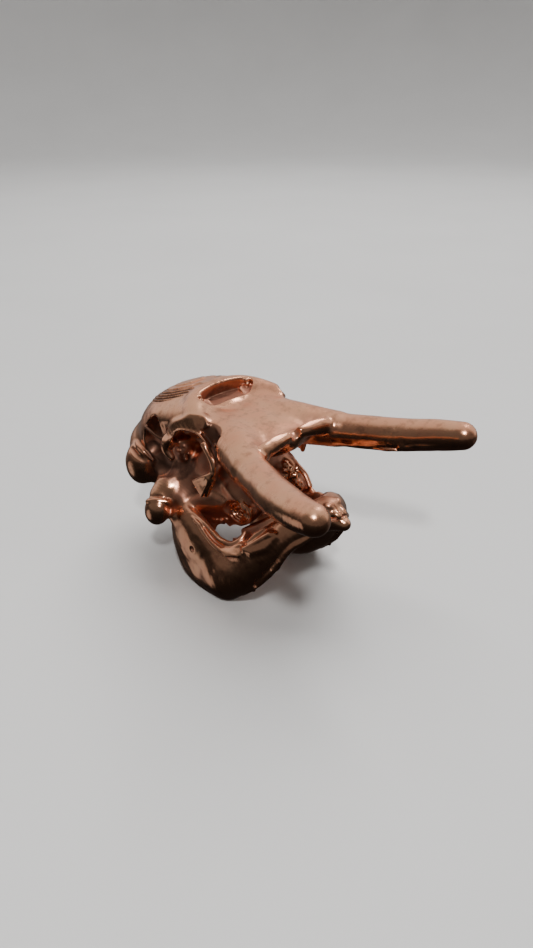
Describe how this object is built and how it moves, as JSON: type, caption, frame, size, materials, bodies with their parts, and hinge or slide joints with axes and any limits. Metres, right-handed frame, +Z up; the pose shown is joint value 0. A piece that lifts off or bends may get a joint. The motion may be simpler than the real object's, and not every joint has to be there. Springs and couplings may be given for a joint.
{
  "type": "miniature elephant skull with lower jaw, copper-plated figurine",
  "caption": "Palm-sized copper figurine of an elephant skull: cranium with nasal opening and eye sockets, straight blunt tusks, cheek teeth and lower jaw, lying on the jaw's back corners.",
  "frame": {"origin": "middle of the figurine's footprint, on the floor that it rests on", "axes": "+Z up; the skull faces -Y, so its left side is +X; it lies tipped back 42.6 degrees from level tooth rows, as pictured"},
  "size_m": [0.0494, 0.078, 0.0463],
  "materials": {
    "bright_copper": "polished copper plate, slightly mottled",
    "dark_copper": "polished copper plate, browner and redder in the hollows"
  },
  "bodies": {
    "root": {"cranium": "bright_copper", "tusk_left": "bright_copper", "tusk_right": "bright_copper", "mandible": "dark_copper", "molar_upper_left": "dark_copper", "molar_upper_right": "dark_copper", "molar_lower_left": "dark_copper", "molar_lower_right": "dark_copper"}
  },
  "joints": []
}
